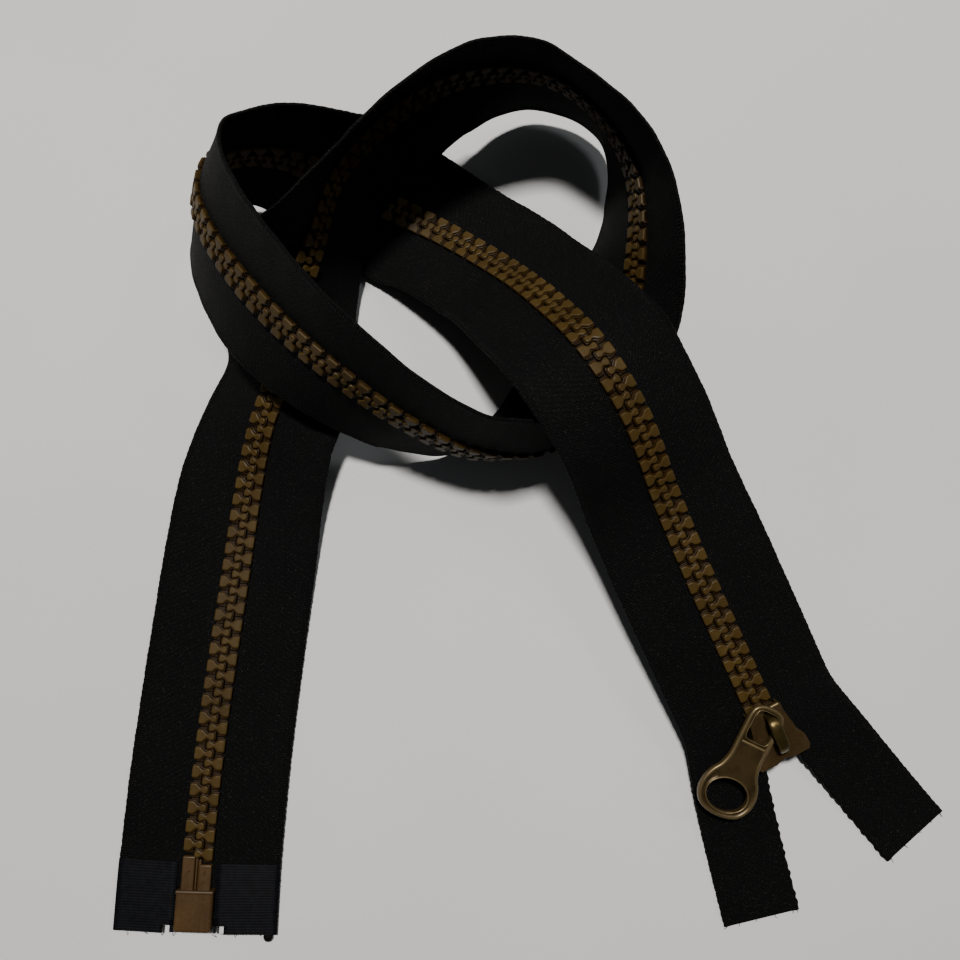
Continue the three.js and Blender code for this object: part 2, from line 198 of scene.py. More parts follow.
def parted_point(x, side):
    """The middle line of one side, x mm past the slider's middle."""
    r = NOSE.cross(UP).normalized()
    across, along, at = 0.0, min(x, PART_FROM), PART_FROM
    while at < x:
        step = min(WALK, x - at)
        turn = turn_at(at + step / 2)
        across += math.sin(turn) * step
        along += math.cos(turn) * step
        at += WALK
    p = SLIDER_AT + NOSE * along + r * (side * across)
    if x > SINK_FROM:
        rest = TAPE_THICK / 2 + 0.05
        left = max(0, 1 - (x - SINK_FROM) / SINK_LENGTH)
        p.z = rest + (SLIDER_AT.z + NOSE.z * SINK_FROM - rest) * left * left
    return p


CHAIN_END_DIRECTION = route_at(ROUTE_END)[1]


def parted_at(x, side):
    """The place on one side's top stretch, x mm past the slider's middle."""
    t = (parted_point(x + 0.2, side) - parted_point(x - 0.2, side)).normalized()
    # The first few millimetres still follow the direction the chain arrives with.
    k = smoothstep(x, -STRAIGHT, -STRAIGHT + 8)
    return Place(parted_point(x, side), (CHAIN_END_DIRECTION * (1 - k) + t * k).normalized())


# ---------------------------------------------------------------- mesh helpers
def new_object(name, verts, faces, uvs=None, smooth=True):
    """A mesh object from millimetre points in the route's frame."""
    mesh = bpy.data.meshes.new(name)
    mesh.from_pydata([(v + SHIFT) * MM for v in verts], [], faces)
    if uvs:
        layer = mesh.uv_layers.new(name="uv")
        for poly in mesh.polygons:
            for li, vi in zip(poly.loop_indices, poly.vertices):
                layer.data[li].uv = uvs[vi]
    obj = bpy.data.objects.new(name, mesh)
    bpy.context.scene.collection.objects.link(obj)
    for poly in mesh.polygons:
        poly.use_smooth = smooth
    bm = bmesh.new()
    bm.from_mesh(mesh)
    bmesh.ops.recalc_face_normals(bm, faces=bm.faces)
    for face in bm.faces:
        if len(face.verts) > 4:
            for edge in face.edges:
                edge.smooth = False
    bm.to_mesh(mesh)
    bm.free()
    return obj


def angles(count):
    """Equal angles round a full turn."""
    return [2 * math.pi * j / count for j in range(count)]


def loft(rings, uv_rings=None):
    """Vertices and quads through equal closed rings, with end caps."""
    n = len(rings[0])
    verts = [p for ring in rings for p in ring]
    faces = []
    for i in range(len(rings) - 1):
        for j in range(n):
            a, b = i * n + j, i * n + (j + 1) % n
            faces.append((a, b, b + n, a + n))
    faces.append(tuple(range(n))[::-1])
    last = (len(rings) - 1) * n
    faces.append(tuple(range(last, last + n)))
    uvs = [uv for ring in uv_rings for uv in ring] if uv_rings else None
    return verts, faces, uvs


def join_parts(parts):
    """One list of vertices, faces and uvs out of several."""
    verts, faces, uvs = [], [], []
    for v, f, u in parts:
        k = len(verts)
        verts += v
        faces += [tuple(i + k for i in face) for face in f]
        uvs += u if u else [(0, 0)] * len(v)
    return verts, faces, uvs


def merge(obj, extra):
    """Adds another object's mesh to an object's own and removes the other."""
    bm = bmesh.new()
    bm.from_mesh(obj.data)
    bm.from_mesh(extra.data)
    bm.to_mesh(obj.data)
    bm.free()
    bpy.data.objects.remove(extra)


def bevel(obj, width, segments=3, angle=30):
    m = obj.modifiers.new("bevel", "BEVEL")
    m.width = width * MM
    m.segments = segments
    m.limit_method = "ANGLE"
    m.angle_limit = math.radians(angle)


def weighted_normals(obj, keep_sharp=True):
    m = obj.modifiers.new("normals", "WEIGHTED_NORMAL")
    m.keep_sharp = keep_sharp


def bake(obj):
    """Applies an object's modifiers."""
    mesh = bpy.data.meshes.new_from_object(obj.evaluated_get(bpy.context.evaluated_depsgraph_get()))
    obj.modifiers.clear()
    obj.data = mesh


def cut(obj, cutter):
    m = obj.modifiers.new("cut", "BOOLEAN")
    m.operation = "DIFFERENCE"
    m.solver = "EXACT"
    m.object = cutter
    bpy.context.view_layer.update()
    bake(obj)
    bpy.data.objects.remove(cutter)


# ---------------------------------------------------------------- materials
BLACK, WHITE = (0, 0, 0), (1, 1, 1)


class Nodes:
    """Small helper around one material's node tree."""

    def __init__(self, name):
        self.mat = bpy.data.materials.new(name)
        self.mat.use_nodes = True
        self.tree = self.mat.node_tree
        self.shader = self.tree.nodes["Principled BSDF"]
        self.coords = self.tree.nodes.new("ShaderNodeTexCoord")

    def feed(self, socket, value):
        """Gives an input another node's output, a colour or a number."""
        if isinstance(value, bpy.types.NodeSocket):
            self.tree.links.new(value, socket)
        elif isinstance(value, tuple):
            socket.default_value = (*value, 1)
        else:
            socket.default_value = value

    def math(self, op, *values):
        n = self.tree.nodes.new("ShaderNodeMath")
        n.operation = op
        for socket, value in zip(n.inputs, values):
            self.feed(socket, value)
        return n.outputs[0]

    def wave(self, value, length):
        """A sine of a value, with the given wavelength."""
        return self.math("SINE", self.math("MULTIPLY", value, 2 * math.pi / length))

    def ramp(self, fac, *stops):
        n = self.tree.nodes.new("ShaderNodeValToRGB")
        while len(n.color_ramp.elements) < len(stops):
            n.color_ramp.elements.new(0.5)
        for element, (position, colour) in zip(n.color_ramp.elements, stops):
            element.position = position
            element.color = (*colour, 1)
        self.feed(n.inputs[0], fac)
        return n.outputs[0]

    def mask(self, fac, start, end):
        """Black below start, white above end."""
        return self.ramp(fac, (start, BLACK), (end, WHITE))

    def mix(self, fac, a, b):
        n = self.tree.nodes.new("ShaderNodeMix")
        n.data_type = "RGBA"
        for socket, value in ((n.inputs[0], fac), (n.inputs[6], a), (n.inputs[7], b)):
            self.feed(socket, value)
        return n.outputs[2]

    def noise(self, scale, detail, rough):
        """Noise over the object's own metres."""
        n = self.tree.nodes.new("ShaderNodeTexNoise")
        n.inputs["Scale"].default_value = scale
        n.inputs["Detail"].default_value = detail
        n.inputs["Roughness"].default_value = rough
        self.feed(n.inputs["Vector"], self.coords.outputs["Object"])
        return n.outputs["Fac"]

    def bump(self, height, strength, depth):
        """A bumped normal; depth is in mm."""
        n = self.tree.nodes.new("ShaderNodeBump")
        n.inputs["Strength"].default_value = strength
        n.inputs["Distance"].default_value = depth * MM
        self.feed(n.inputs["Height"], height)
        return n.outputs[0]

    def uv(self):
        n = self.tree.nodes.new("ShaderNodeSeparateXYZ")
        self.feed(n.inputs[0], self.coords.outputs["UV"])
        return n.outputs[0], n.outputs[1]

    def pointiness(self):
        return self.tree.nodes.new("ShaderNodeNewGeometry").outputs["Pointiness"]

    def surface(self, **values):
        """Sets the shader's inputs by name and returns the material."""
        for key, value in values.items():
            self.feed(self.shader.inputs[key.replace("_", " ")], value)
        return self.mat


def tape_material():
    """Black polyester tape: a fine twill, ribs along the selvedge; u runs along, v across, in mm."""
    k = Nodes("tape_twill")
    u, v = k.uv()
    warp = k.wave(v, 0.5)
    weft = k.wave(u, 0.46)
    lean = k.wave(k.math("MULTIPLY_ADD", u, 0.8, v), 0.7)
    flat = k.math("MULTIPLY_ADD", lean, 0.3, k.math("MULTIPLY", k.math("MULTIPLY", warp, weft), 0.5))
    from_selvedge = k.math("ABSOLUTE", k.math("SUBTRACT", v, 15.0))
    rib = k.math("MULTIPLY", weft, k.math("SUBTRACT", 1.0, k.math("SMOOTH_MIN", from_selvedge, 1.0, 0.2)))
    threads = k.noise(1300, 4, 0.75)
    height = k.math("MULTIPLY_ADD", threads, 2.2, k.math("ADD", flat, rib))
    shade = k.math("MULTIPLY_ADD", height, 0.2, k.math("MULTIPLY", k.noise(55, 3, 0.6), 0.35))
    cloth = k.ramp(shade, (0.1, (0.0006, 0.0006, 0.0006)), (0.5, (0.0017, 0.0016, 0.0016)),
                   (0.95, (0.007, 0.0066, 0.0062)))
    # Light flecks where a filament catches the light.
    fleck = k.math("MULTIPLY", k.mask(k.noise(3600, 2, 0.6), 0.6, 0.76), 0.6)
    return k.surface(Base_Color=k.mix(fleck, cloth, (0.034, 0.031, 0.028)), Normal=k.bump(height, 0.75, 0.12),
                     Roughness=k.math("MULTIPLY_ADD", threads, 0.25, 0.6), Specular_IOR_Level=0.07,
                     Sheen_Weight=0.008, Sheen_Roughness=0.4)


def film_material():
    """Clear film pressed over the woven tape: the weave shows through a faint bluish gloss."""
    k = Nodes("film_gloss")
    u, v = k.uv()
    ribs = k.wave(u, 0.5)
    threads = k.wave(v, 0.62)
    grain = k.noise(900, 3, 0.6)
    height = k.math("MULTIPLY_ADD", ribs, 0.5, k.math("MULTIPLY_ADD", threads, 0.3, grain))
    colour = k.ramp(k.math("MULTIPLY_ADD", ribs, 0.18, grain), (0.2, (0.0013, 0.0014, 0.0019)),
                    (0.6, (0.0026, 0.0028, 0.0038)), (0.95, (0.0052, 0.0055, 0.0072)))
    return k.surface(Base_Color=colour, Normal=k.bump(height, 0.3, 0.05),
                     Roughness=k.math("MULTIPLY_ADD", grain, 0.3, 0.42), Specular_IOR_Level=0.1)


def plastic_material(name, dark, mid, light, worn_and_highlight, rough, gloss, painted_shade=None):
    """Moulded plastic with a faint mottle and lightened edges, partly rubbed wear and partly a painted
    highlight; a darker second colour paints shade on the places with a high second uv.
    """
    k = Nodes(name)
    broad = k.noise(120, 3, 0.55)
    fine = k.noise(1500, 4, 0.65)
    # The edges lighten towards the worn colour: partly rubbed wear, partly a painted highlight.
    edge = k.math("MULTIPLY", k.mask(k.pointiness(), 0.5, 0.62), k.math("MULTIPLY", fine, 0.55))
    colour = k.mix(edge, k.ramp(broad, (0.3, dark), (0.52, mid), (0.75, light)), worn_and_highlight)
    if painted_shade:
        # Painted shade: places deep under a tooth's face darken, as between the teeth.
        low = k.mask(k.uv()[1], 0.14, 0.34)
        colour = k.mix(k.math("MULTIPLY", low, 0.92), colour, painted_shade)
    height = k.math("MULTIPLY_ADD", fine, 0.6, k.math("MULTIPLY", broad, 0.5))
    return k.surface(Base_Color=colour, Normal=k.bump(height, 0.25, 0.08),
                     Roughness=k.math("MULTIPLY_ADD", fine, 0.28, rough - 0.14), Specular_IOR_Level=gloss)


def metal_material(name, dark, mid, light, rough, metallic):
    """Plated metal: mottled from dark to mid, lightened on the edges, partly rubbed plating and partly a
    painted highlight.
    """
    k = Nodes(name)
    broad = k.noise(260, 4, 0.6)
    fine = k.noise(2200, 3, 0.7)
    # Painted highlight: edges take the light colour where they would catch the light, with some rubbed
    # plating.
    edge = k.math("MULTIPLY", k.mask(k.pointiness(), 0.49, 0.62), 0.8)
    height = k.math("ADD", fine, k.math("MULTIPLY", broad, 0.8))
    return k.surface(Base_Color=k.mix(edge, k.ramp(broad, (0.3, dark), (0.6, mid)), light),
                     Normal=k.bump(height, 0.22, 0.07), Metallic=metallic,
                     Roughness=k.math("MULTIPLY_ADD", fine, 0.26, rough - 0.1))


def paper_material():
    """Matt white paper with fibres and soft waves."""
    k = Nodes("paper")
    fibre = k.noise(900, 5, 0.7)
    shade = k.math("MULTIPLY_ADD", fibre, 0.15, k.math("MULTIPLY", k.noise(9, 3, 0.5), 0.85))
    height = k.math("MULTIPLY_ADD", fibre, 0.12, k.noise(16, 2, 0.4))
    return k.surface(Base_Color=k.ramp(shade, (0.2, (0.5, 0.495, 0.49)), (0.8, (0.58, 0.575, 0.57))),
                     Normal=k.bump(height, 0.12, 4), Roughness=0.85, Specular_IOR_Level=0.2)


TAPE = tape_material()
FILM = film_material()
# On the teeth the darker second colour is painted shade on the lower tiers between the teeth.
TEETH = plastic_material(
    "teeth_plastic", dark=(0.027, 0.0148, 0.0026), mid=(0.038, 0.0216, 0.0043), light=(0.05, 0.03, 0.0068),
    worn_and_highlight=(0.09, 0.062, 0.02), painted_shade=(0.0135, 0.0056, 0.0002), rough=0.46, gloss=0.12)
BOX = plastic_material(
    "box_plastic", dark=(0.03, 0.0145, 0.0034), mid=(0.042, 0.0205, 0.005), light=(0.054, 0.0275, 0.0072),
    worn_and_highlight=(0.1, 0.062, 0.028), rough=0.42, gloss=0.3)
# On the slider the light edge colour is partly rubbed paint and partly a painted highlight on its edges.
BODY = plastic_material(
    "slider_paint", dark=(0.0125, 0.0064, 0.0017), mid=(0.02, 0.0104, 0.0028), light=(0.031, 0.017, 0.0052),
    worn_and_highlight=(0.16, 0.12, 0.06), rough=0.36, gloss=0.2)
BRASS = metal_material(
    "antique_brass", dark=(0.034, 0.021, 0.007), mid=(0.066, 0.042, 0.015), light=(0.24, 0.175, 0.08),
    rough=0.36, metallic=0.6)
CROWN_BRASS = metal_material(
    "crown_brass", dark=(0.034, 0.023, 0.006), mid=(0.066, 0.046, 0.013), light=(0.14, 0.1, 0.034),
    rough=0.34, metallic=0.85)
STEEL = metal_material(
    "spring_steel", dark=(0.2, 0.19, 0.17), mid=(0.3, 0.29, 0.27), light=(0.6, 0.58, 0.55),
    rough=0.32, metallic=1.0)


def dress(obj, material, body, slot_name, *nodes):
    """Gives a piece its material, hides the nodes it stands for and hangs it on the body it rides on; the
    slot name is not used.
    """
    obj.data.materials.clear()
    obj.data.materials.append(material)
    if nodes:
        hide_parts(*nodes)
    if body:
        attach(obj, body)
    return obj


def blend_to_leaf(obj):
    """Bakes a top stretch's placement into its mesh."""
    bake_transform(obj)


# ---------------------------------------------------------------- tapes
# Half sections as (place across, half thickness): the woven cord under the teeth, and the thick selvedge.
BEAD = [(CLOTH_FROM, 0.32), (1.1, 0.5), (1.65, 0.5), (2.05, 0.3)]
SELVEDGE = [(14.45, 0.27), (14.8, 0.34), (15.3, 0.36), (15.62, 0.3), (HALF_WIDTH, 0.16)]
CORD_GAP = 0.7
FLAT_END, FLAT_HALF, FLAT_STEPS = 14.2, 0.28, 10
# The fold is spread over the cloth beside the teeth.
FOLD_FROM, FOLD_TO = ROW_REACH - 1.5, ROW_REACH + 2.5
# Past its stiff end the cloth ripples, more and more towards the selvedge: height and radians per mm.
STIFF_END = 14
RIPPLE_FROM, RIPPLE_TO = 6, 15
RIPPLES = ((0.06, 0.31), (0.05, 0.83))
LOWEST = 0.02

SLIDER_STOP = ROUTE_LENGTH + STRAIGHT
# Where the ribbon turns so tightly that the cloth's free edge would crease: side, place along the chain, how
# far the smoothing reaches and how far it spreads. It grows across the cloth and fades at a strip's ends.
SMOOTH_FROM, SMOOTH_TO = 4, 13
SMOOTH_FADE = 12
TIGHT = (
    (-1, 391.0, 3.6, 11.0), (-1, 111.0, 2.5, 8.0), (1, 403.0, 2.5, 8.0), (-1, 200.0, 2.5, 8.0),
    (1, 285.0, 2.0, 6.0), (-1, SLIDER_STOP - 1, 4.5, 14.0), (1, SLIDER_STOP - 1, 4.5, 14.0),
)
# Waves of a woven edge: height, wavelength and phase.
SELVEDGE_WAVES = {side: ((0.045, 1.2, 0), (0.03, 3.1, side)) for side, _ in SIDES}
BEAD_WAVES = ((0.1, 1.9, 0), (0.05, 1.33, 0), (0.05, 4.7, 0))
BARE_FROM = SLIDER_STOP + 7

# At the very end a slit parts a narrow tongue of cloth from the rest, beside the box.
SLIT = {-1: (4.6, 6.2), 1: (4.25, 5.7)}
SLIT_LENGTH = 1.6
SLIT_STOPS = [SLIT_LENGTH - 0.02, SLIT_LENGTH + 0.02]
END_STOPS = [0.02, 0.5, 1.1] + SLIT_STOPS + [2.4, 3.2, 4.2, 5.2, 6.2, 7.2, NOTCH_END]
FILM_STOPS = [0.15, 0.8] + SLIT_STOPS + [3, 5, 7, 9, 11, 12.95]
FILM_MIDDLE, FILM_HALF = TAPE_THICK / 2 + 0.08 + 0.05, 0.04
TONGUE_STOPS = [0.3, 0.7, 1.2, SLIT_LENGTH + 0.05]
TONGUE_FROM, TONGUE_HALF = 3.8, 0.4
RING = 0.3


def tape_profile(inner):
    """Section of one tape from its inner edge to the selvedge: (v, half thickness)."""
    points = list(BEAD) if inner < ROW_REACH else []
    start = points[-1][0] + CORD_GAP if points else inner
    points += [(start + (FLAT_END - start) * j / FLAT_STEPS, FLAT_HALF) for j in range(FLAT_STEPS + 1)]
    return points + SELVEDGE


def ripple_at(s, side):
    """How far the selvedge stands off at s mm along the tape."""
    if s <= STIFF_END:
        return 0
    return sum(height * math.sin(s * turn + side * (i + 1)) for i, (height, turn) in enumerate(RIPPLES))


def tape_ring(f, side, s, inner):
    """The closed ring of points round one tape at one place, and its uv."""
    out, up = f.out(side)
    top, bottom, uv_top, uv_bottom = [], [], [], []
    for v, half in tape_profile(inner):
        if v <= ROW_REACH:
            base = f.p + f.mid * (side * v)
            lift = f.up
        else:
            k = smoothstep(v, FOLD_FROM, FOLD_TO)
            base = f.p + f.mid * (side * ROW_REACH) + out * (v - ROW_REACH)
            lift = (f.up * (1 - k) + up * k).normalized()
        base = base + lift * (ripple_at(s, side) * smoothstep(v, RIPPLE_FROM, RIPPLE_TO))
        top.append(base + lift * half)
        bottom.append(base - lift * half)
        uv_top.append((s, v))
        uv_bottom.append((s + 0.3, v))
    return top + bottom[::-1], uv_top + uv_bottom[::-1]


def evened(points, stops, amount, reach):
    """Points with each lengthwise line smoothed over reach mm, by amount[ring] and towards the free edge."""
    step = (stops[-1] - stops[0]) / (len(stops) - 1)
    n = max(1, int(3 * reach / step))
    kernel = np.exp(-0.5 * (np.arange(-n, n + 1) * step / reach) ** 2)
    kernel /= kernel.sum()
    padded = np.concatenate([np.repeat(points[:1], n, 0), points, np.repeat(points[-1:], n, 0)])
    smooth = sum(w * padded[i:i + len(points)] for i, w in enumerate(kernel))
    across = [smoothstep(v, SMOOTH_FROM, SMOOTH_TO) for v, _ in tape_profile(CLOTH_FROM)]
    across = np.array(across + across[::-1])
    return points + (smooth - points) * amount[:, None, None] * across[None, :, None]


def relaxed(points, stops, side):
    """Points with the free edge smoothed at each tight turn, and the ends of the strip left alone."""
    free = np.clip(np.minimum(stops - stops[0], stops[-1] - stops) / SMOOTH_FADE - 0.1, 0, 1)
    for which, centre, reach, spread in TIGHT:
        if which == side and stops[0] < centre < stops[-1]:
            near = np.exp(-0.5 * ((stops - centre) / spread) ** 2)
            points = evened(points, stops, free * near, reach)
    return points


def waves(stops, terms):
    return sum(height * np.sin(stops * 2 * np.pi / length + phase) for height, length, phase in terms)


def push_edge(points, wave, edge, behind, shares):
    """Moves an edge of the cloth in and out by a wave; edge and behind are columns of its top face."""
    outward = points[:, edge] - points[:, behind]
    outward /= np.linalg.norm(outward, axis=1)[:, None]
    step = 1 if behind > edge else -1
    for j, share in enumerate(shares):
        top = edge + step * j
        for column in (top, points.shape[1] - 1 - top):
            points[:, column] += outward * (wave * share)[:, None]


def tape(name, side, places, inner, long=True):
    """A strip of cloth through places along the ribbon; a long one gets its woven edges."""
    rings, uvs = [], []
    for s, f in places:
        ring, uv = tape_ring(f, side, s, inner(s))
        rings.append(ring)
        uvs.append(uv)
    if long:
        stops = np.array([s for s, _ in places])
        points = relaxed(np.array([[tuple(p) for p in ring] for ring in rings]), stops, side)
        # The woven edge is serrated by its turning weft; past the slider the bare inner edge is beaded.
        last = points.shape[1] // 2 - 1
        push_edge(points, waves(stops, SELVEDGE_WAVES[side]), last, last - 3, (1.0, 0.7, 0.3))
        bare = np.clip((stops - BARE_FROM) / 2, 0, 1)
        push_edge(points, bare * waves(stops, BEAD_WAVES), 0, 3, (1.0, 0.6))
        points[:, :, 2] = np.maximum(points[:, :, 2], LOWEST - SHIFT.z)
        rings = [[Vector(p) for p in ring] for ring in points]
    return new_object(name, *loft(rings, uvs))


def even_stops(a, b, step):
    n = max(1, round((b - a) / step))
    return [a + (b - a) * i / n for i in range(n + 1)]


def beside_box(s, side):
    """The cloth's inner edge beside the retainer box."""
    return SLIT[side][1] if s < SLIT_LENGTH else CLOTH_BESIDE_BOX


def long_tape(side, word):
    """One strip: the notched end beside the box and the long stretch to the straight."""
    end = [(s, chain_at(s)) for s in END_STOPS]
    long = [(s, chain_at(s)) for s in even_stops(NOTCH_END, ROUTE_LENGTH - 0.02, RING)]
    cloth = tape(word + "_cloth", side, end, lambda s: beside_box(s, side), False)
    merge(cloth, tape("long", side, long, lambda s: CLOTH_FROM))
    dress(cloth, TAPE, "closed_chain", "tape", word + "_tape")


def top_tape(side, word):
    """The stretch from the start of the straight to the free end, which parts as the slider moves."""
    places = [(SLIDER_STOP + x, parted_at(x, side)) for x in even_stops(-STRAIGHT, TOP_END, RING)]
    cloth = tape(word + "_cloth_top", side, places, lambda s: CLOTH_FROM)
    dress(cloth, TAPE, None, "tape", word + "_tape_top")
    blend_to_leaf(cloth)


def film(side, word, face, label):
    """The film on one face of a tape's end, with the slit that the cloth has."""
    rings, uvs = [], []
    for s in FILM_STOPS:
        f = chain_at(s)
        inner = beside_box(s, side) + 0.05
        vs = [inner + (HALF_WIDTH - 0.07 - inner) * j / 10 for j in range(11)]
        low, high = face * FILM_MIDDLE - FILM_HALF, face * FILM_MIDDLE + FILM_HALF
        rings.append([f.on_cloth(side, v, high) for v in vs] + [f.on_cloth(side, v, low) for v in vs[::-1]])
        uvs.append([(s, v) for v in vs + vs[::-1]])
    skin = new_object(f"{word}_{label}_skin", *loft(rings, uvs))
    dress(skin, FILM, "closed_chain", "film", f"{word}_{label}_film")


def tongue(side, word):
    """The narrow tongue of stiffened cloth between the box and the slit."""
    near, far, half = TONGUE_FROM, SLIT[side][0], TONGUE_HALF
    corners = ((near, -half), (far, -half), (far, half), (near, half))
    rings = [[chain_at(s).on_cloth(side, v, height) for v, height in corners] for s in TONGUE_STOPS]
    uvs = [[(s, v) for v, _ in corners] for s in TONGUE_STOPS]
    dress(new_object(word + "_tongue", *loft(rings, uvs), smooth=False), FILM, "closed_chain", "film")


for side, word in SIDES:
    long_tape(side, word)
    top_tape(side, word)
    film(side, word, 1, "front")
    film(side, word, -1, "back")
    tongue(side, word)


# ---------------------------------------------------------------- teeth
# Half outlines seen from the front, as (along the chain, across it). Low between the teeth of one side runs
# the moulded web over the cord.
WEB_SIDE = [(1.5, 2.5), (1.6, 2.4), (1.6, 1.2), (1.5, 1.1)]
# A tooth has a square body on the tape's edge, a waist and a head that flares to the middle.
TOOTH_SIDE = [(1.24, 2.9), (1.34, 2.78), (1.38, 1.95), (1.32, 1.5), (1.02, 1.15), (0.74, 0.85), (0.68, 0.55),
              (0.8, -0.02), (0.96, -0.36), (0.94, -0.62), (0.66, -0.84), (0.2, -0.88)]
# Its raised face is a smaller block with cut corners, a neck and a round knob.
FACE_SIDE = [(0.9, 2.9), (1.12, 2.75), (1.16, 1.95), (1.02, 1.55), (0.62, 1.16), (0.4, 0.86), (0.42, 0.6),
             (0.62, 0.3), (0.7, -0.05), (0.66, -0.38), (0.44, -0.62), (0.15, -0.7)]
FACE_TOP = 1.24
# Half outline, half height and chamfer of each layer.
TOOTH_LAYERS = ((WEB_SIDE, 0.62, 0.08), (TOOTH_SIDE, 0.86, 0.14), (FACE_SIDE, FACE_TOP, 0.26))
FIRST_TOOTH = {-1: 9, 1: 8}
ROW_SEED, TOP_ROW_SEED = 11, 31
TOOTH_LIFT, TOOTH_TILT = 0.04, 0.02
# The closed row stops short of the route's end, the top row just past the slider's middle.
LAST_ROOM = 1.2
TOP_TEETH_END = 3.4


def rounded_block(outline, z0, z1, edge):
    """A prism with chamfered, softened edges from an outline in x, y; counter-clockwise."""
    n = len(outline)

    def moved_in(d):
        points = []
        for i in range(n):
            x0, y0 = outline[i - 1]
            x1, y1 = outline[i]
            x2, y2 = outline[(i + 1) % n]
            e1 = Vector((x1 - x0, y1 - y0)).normalized()
            e2 = Vector((x2 - x1, y2 - y1)).normalized()
            n1, n2 = Vector((-e1.y, e1.x)), Vector((-e2.y, e2.x))
            b = (n1 + n2).normalized()
            k = d / max(b.dot(n1), 0.4)
            points.append((x1 + b.x * k, y1 + b.y * k))
        return points

    soft = edge * 0.3
    levels = [(z0, edge), (z0 + soft, soft), (z0 + edge, 0), (z1 - edge, 0), (z1 - soft, soft), (z1, edge)]
    return loft([[Vector((x, y, z)) for x, y in moved_in(d)] for z, d in levels])


def teeth(name, side, places, seed):
    """A row of separate teeth, each a little high or low and tilted."""
    rng = random.Random(seed)
    solids = []
    for half_outline, top, edge in TOOTH_LAYERS:
        outline = [(-x, y) for x, y in half_outline] + half_outline[::-1]
        solids.append(rounded_block(outline, -top, top, edge))
    parts = []
    for f in places:
        dz = rng.uniform(-TOOTH_LIFT, TOOTH_LIFT)
        tilt = rng.uniform(-TOOTH_TILT, TOOTH_TILT)
        for verts, faces, _ in solids:
            points = [f.p + f.t * (q.x + tilt * q.y) + f.mid * (side * q.y) + f.up * (q.z + dz)
                      for q in verts]
            # The second coordinate tells the colour how deep a place lies under the tooth's face, where the
            # colour paints shade.
            parts.append((points, faces, [(0, FACE_TOP - abs(q.z)) for q in verts]))
    return new_object(name, *join_parts(parts), smooth=False)


def tooth_stops(side):
    """Places of one side's teeth along the closed chain; the right heads fall between the left ones."""
    stops = []
    k = FIRST_TOOTH[side]
    while PHASE + k * PITCH / 2 < ROUTE_LENGTH - LAST_ROOM:
        stops.append(PHASE + k * PITCH / 2)
        k += 2
    return stops


def teeth_row(side, word):
    """One side's teeth up to the straight, and the ones that part as the slider moves."""
    stops = tooth_stops(side)
    row = teeth(word + "_teeth_row", side, [chain_at(s) for s in stops], ROW_SEED + side)
    dress(row, TEETH, "closed_chain", "teeth", word + "_teeth")
    places = []
    s = stops[-1] + PITCH
    while s - SLIDER_STOP < TOP_TEETH_END:
        places.append(parted_at(s - SLIDER_STOP, side))
        s += PITCH
    row = teeth(word + "_teeth_row_top", side, places, TOP_ROW_SEED + side)
    dress(row, TEETH, None, "teeth", word + "_teeth_top")
    blend_to_leaf(row)


for side, word in SIDES:
    teeth_row(side, word)


# ---------------------------------------------------------------- box and pins
# At the box, x runs along the chain from the cut end, y to its left and z out of the front.
BOX_START, BOX_END, BOX_HALF, BOX_TOP = 0.6, 8.2, 3.6, 1.55
LIP_LENGTH, LIP_REACH, LIP_PAST = 0.75, 0.05, 0.03
BOX_ROUND, LIP_ROUND, PIN_ROUND = 0.65, 0.3, 0.28
PIN_START, PIN_FROM, PIN_TO, PIN_TOP = 2.4, 0.42, 2.85, 1.1
RIB_FROM, RIB_TO, RIB_LOW, RIB_HIGH = 0.06, 0.6, -0.9, 0.35
DENT_HEIGHT, DENT_RADIUS = 1.2, 0.26
DENT_ROWS, DENT_COLUMNS = 7, 12


def box_axes():
    f = chain_at(0.01)
    return f.p, f.t, -f.r, f.n


def slider_axes():
    """At the slider, x runs to its nose, y to its left and z out of its top."""
    r = NOSE.cross(UP).normalized()
    return SLIDER_AT, NOSE, -r, r.cross(NOSE)


def placed(axes, points):
    o, x, y, z = axes
    return [o + x * p[0] + y * p[1] + z * p[2] for p in points]


def block(axes, low, high):
    (x0, y0, z0), (x1, y1, z1) = low, high
    corners = [(x, y, z) for z in (z0, z1) for x, y in ((x0, y0), (x1, y0), (x1, y1), (x0, y1))]
    faces = [(3, 2, 1, 0), (4, 5, 6, 7), (0, 1, 5, 4), (1, 2, 6, 5), (2, 3, 7, 6), (3, 0, 4, 7)]
    return placed(axes, corners), faces, None


def dent(x, y):
    """A small ball that leaves a moulding dimple in a pin's face."""
    rings = []
    for i in range(DENT_ROWS):
        lat = math.pi * (i + 0.5) / DENT_ROWS - math.pi / 2
        rings.append(placed(box_axes(), [
            (x + DENT_RADIUS * math.cos(lat) * math.cos(lon), y + DENT_RADIUS * math.cos(lat) * math.sin(lon),
             DENT_HEIGHT + DENT_RADIUS * math.sin(lat)) for lon in angles(DENT_COLUMNS)]))
    return new_object("dent", *loft(rings))


def retainer_box():
    """A rounded shell with a thin lip round its mouth."""
    low, high = (BOX_START, -BOX_HALF, -BOX_TOP), (BOX_END, BOX_HALF, BOX_TOP)
    shell = new_object("box_shell", *block(box_axes(), low, high))
    bevel(shell, BOX_ROUND, 5)
    bake(shell)
    half, top = BOX_HALF + LIP_REACH, BOX_TOP + LIP_REACH
    low, high = (BOX_END - LIP_LENGTH, -half, -top), (BOX_END + LIP_PAST, half, top)
    lip = new_object("lip", *block(box_axes(), low, high))
    bevel(lip, LIP_ROUND, 3)
    bake(lip)
    merge(shell, lip)
    for poly in shell.data.polygons:
        poly.use_smooth = True
    weighted_normals(shell, keep_sharp=False)
    dress(shell, BOX, "closed_chain", "box", "retainer_box")


